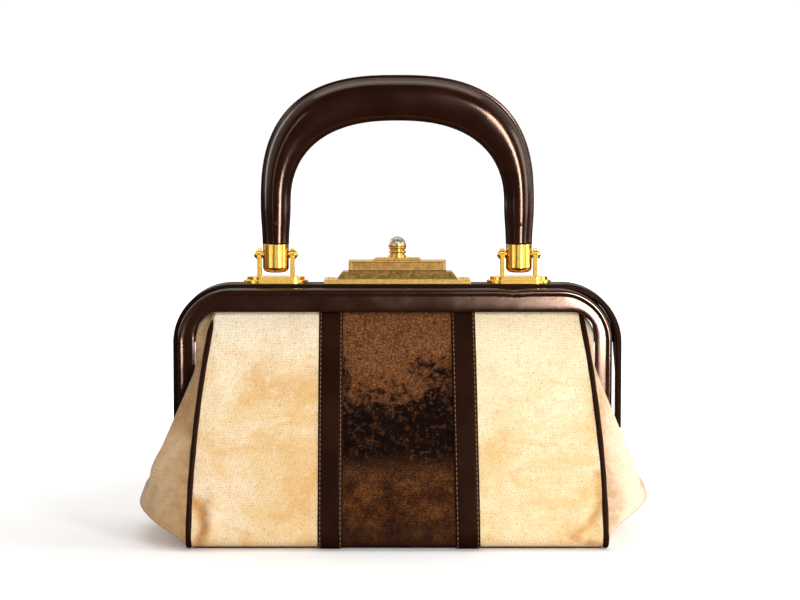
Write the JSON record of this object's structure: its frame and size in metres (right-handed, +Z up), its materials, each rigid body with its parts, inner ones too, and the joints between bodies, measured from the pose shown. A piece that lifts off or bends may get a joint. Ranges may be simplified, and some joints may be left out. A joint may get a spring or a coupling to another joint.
{
  "type": "handbag",
  "caption": "Hinged-frame handbag with a velvet body, leather covered jaws, bulging side gussets, a sliding brass clasp and an arched padded handle",
  "frame": {"origin": "middle of the base, on the ground", "axes": "X along the bag to its right as seen from the front, Y from the front to the back, Z up"},
  "size_m": [0.284, 0.1204, 0.258],
  "materials": {
    "dark_leather": "smooth, polished, slightly worn",
    "cream_velvet": "short worn pile, mottled with yellow stains",
    "brown_velvet": "short pile with crushed dark patches and fine ribs",
    "lining_cloth": "plain weave",
    "board": "pressed fibre board",
    "frame_steel": "plain steel",
    "polished_brass": "polished",
    "aged_brass": "worn and tarnished"
  },
  "bodies": {
    "bag": {"rear_frame_cover": "dark_leather", "rear_facing": "dark_leather", "front_left_strap": "dark_leather", "front_right_strap": "dark_leather", "rear_left_strap": "dark_leather", "rear_right_strap": "dark_leather", "base_sole": "dark_leather", "left_piping": "dark_leather", "right_piping": "dark_leather", "left_panel": "cream_velvet", "right_panel": "cream_velvet", "left_gusset": "cream_velvet", "right_gusset": "cream_velvet", "centre_panel": "brown_velvet", "lining": "lining_cloth", "base_board": "board", "rear_frame_core": "frame_steel", "anchor_rivets": "frame_steel", "latch_spring": "frame_steel", "left_anchor_plate": "polished_brass", "right_anchor_plate": "polished_brass", "left_yoke": "polished_brass", "right_yoke": "polished_brass", "left_anchor_pin": "polished_brass", "right_anchor_pin": "polished_brass", "clasp_flange": "aged_brass", "clasp_housing": "aged_brass", "clasp_cap": "aged_brass", "clasp_rivets": "aged_brass", "left_hinge_pin": "aged_brass", "right_hinge_pin": "aged_brass", "left_hinge_washer": "aged_brass", "right_hinge_washer": "aged_brass"},
    "front_jaw": {"front_frame_core": "frame_steel", "front_frame_cover": "dark_leather", "latch_tongue": "frame_steel"},
    "handle": {"handle_grip": "dark_leather", "handle_core": "frame_steel", "handle_tacks": "dark_leather", "left_ferrule": "polished_brass", "right_ferrule": "polished_brass"},
    "clasp_slide": {"clasp_slider": "aged_brass", "clasp_knob": "aged_brass", "latch_bolt": "frame_steel"}
  },
  "joints": [
    {"name": "front_jaw_hinge", "type": "hinge", "parent": "bag", "child": "front_jaw", "pos_m": [0, -0.004, 0.052], "axis": [1, 0, 0], "range_deg": [0, 55], "deforming": ["left_gusset", "right_gusset", "left_piping", "right_piping"]},
    {"name": "handle_swing", "type": "hinge", "parent": "bag", "child": "handle", "pos_m": [0, 0.0075, 0.157], "axis": [1, 0, 0], "range_deg": [-90, 90]},
    {"name": "clasp_slide", "type": "slide", "parent": "bag", "child": "clasp_slide", "axis": [1, 0, 0], "range_m": [0, 0.005], "stiffness_N_per_m": 200, "springref_m": -0.002, "deforming": ["latch_spring"]}
  ]
}
